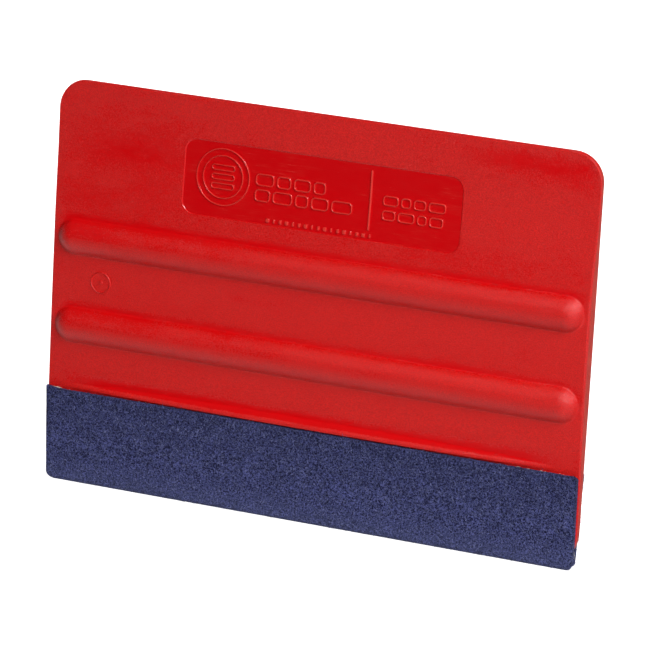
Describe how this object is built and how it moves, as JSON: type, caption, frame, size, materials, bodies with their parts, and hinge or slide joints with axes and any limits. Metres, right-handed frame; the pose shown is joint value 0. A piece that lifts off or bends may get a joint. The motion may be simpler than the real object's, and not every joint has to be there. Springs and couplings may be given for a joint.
{
  "type": "hand squeegee",
  "caption": "Flat plastic hand squeegee with two grip ribs, a stop ridge and a folded felt strip bonded over its working edge, for smoothing vinyl film.",
  "frame": {"origin": "under the middle of the felt fold, on the surface that the working edge rests on", "axes": "+X along the blade, +Y from the panel side to the back, +Z from the working edge to the top edge"},
  "size_m": [0.1, 0.007, 0.072],
  "materials": {
    "red_plastic": "satin, fine moulded grain",
    "navy_felt": "needle-punched felt",
    "film": "clear yellowish adhesive film"
  },
  "bodies": {
    "root": {"blade": "red_plastic", "felt_strip": "navy_felt", "adhesive_film": "film"}
  },
  "joints": []
}
